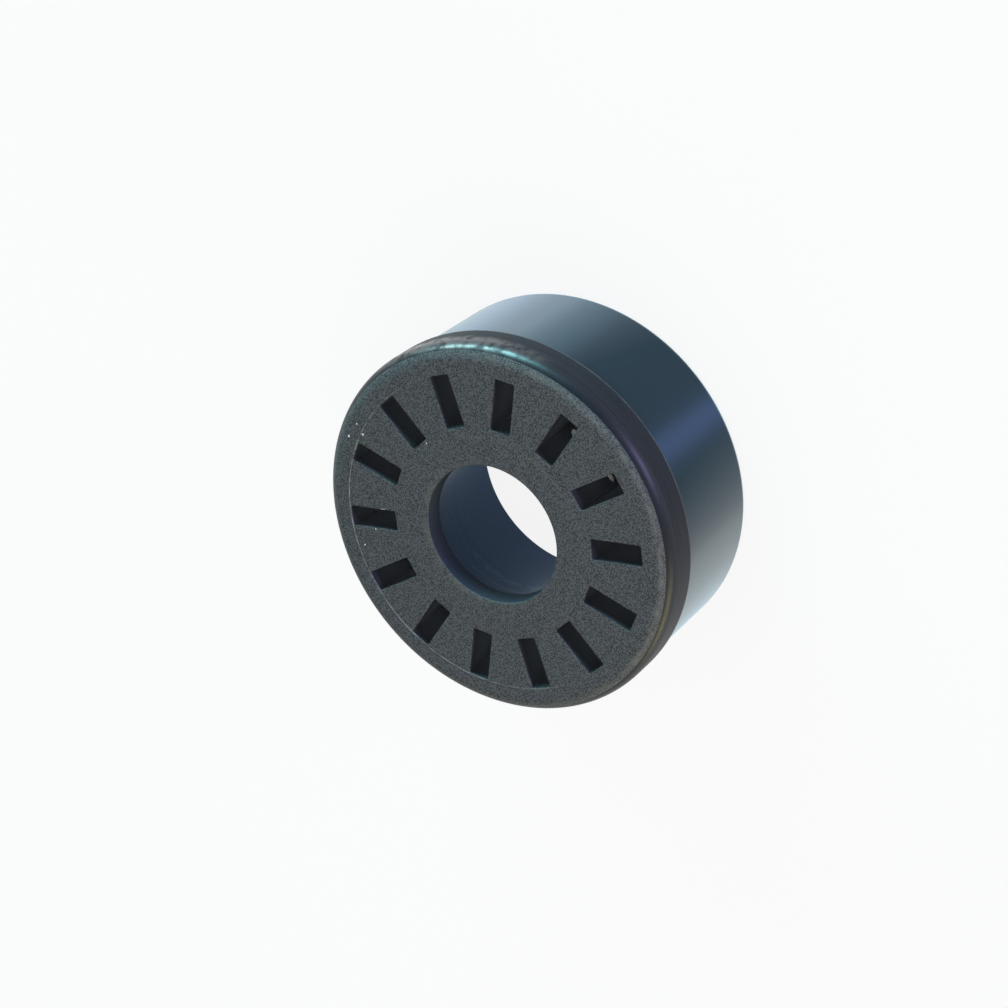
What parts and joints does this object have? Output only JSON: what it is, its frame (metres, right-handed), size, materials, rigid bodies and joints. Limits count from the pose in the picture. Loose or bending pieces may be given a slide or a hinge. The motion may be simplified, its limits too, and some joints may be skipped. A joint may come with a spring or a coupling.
{
  "type": "rubber fan mount",
  "caption": "Moulded rubber ring that cushions a fan motor in its housing, with a shallow flange, radial slots in the front face and a stepped bore that flares to the rear.",
  "frame": {"origin": "centre of the rear face, on the ring's axis", "axes": "+Z along the ring's axis from the rear face to the slotted front face, +X through the middle of one slot"},
  "size_m": [0.06, 0.06, 0.0264],
  "materials": {
    "rubber": "matte moulded face with a smoother, semi-gloss outside and bore"
  },
  "bodies": {
    "root": {"fan_mount_ring": "rubber"}
  },
  "joints": []
}
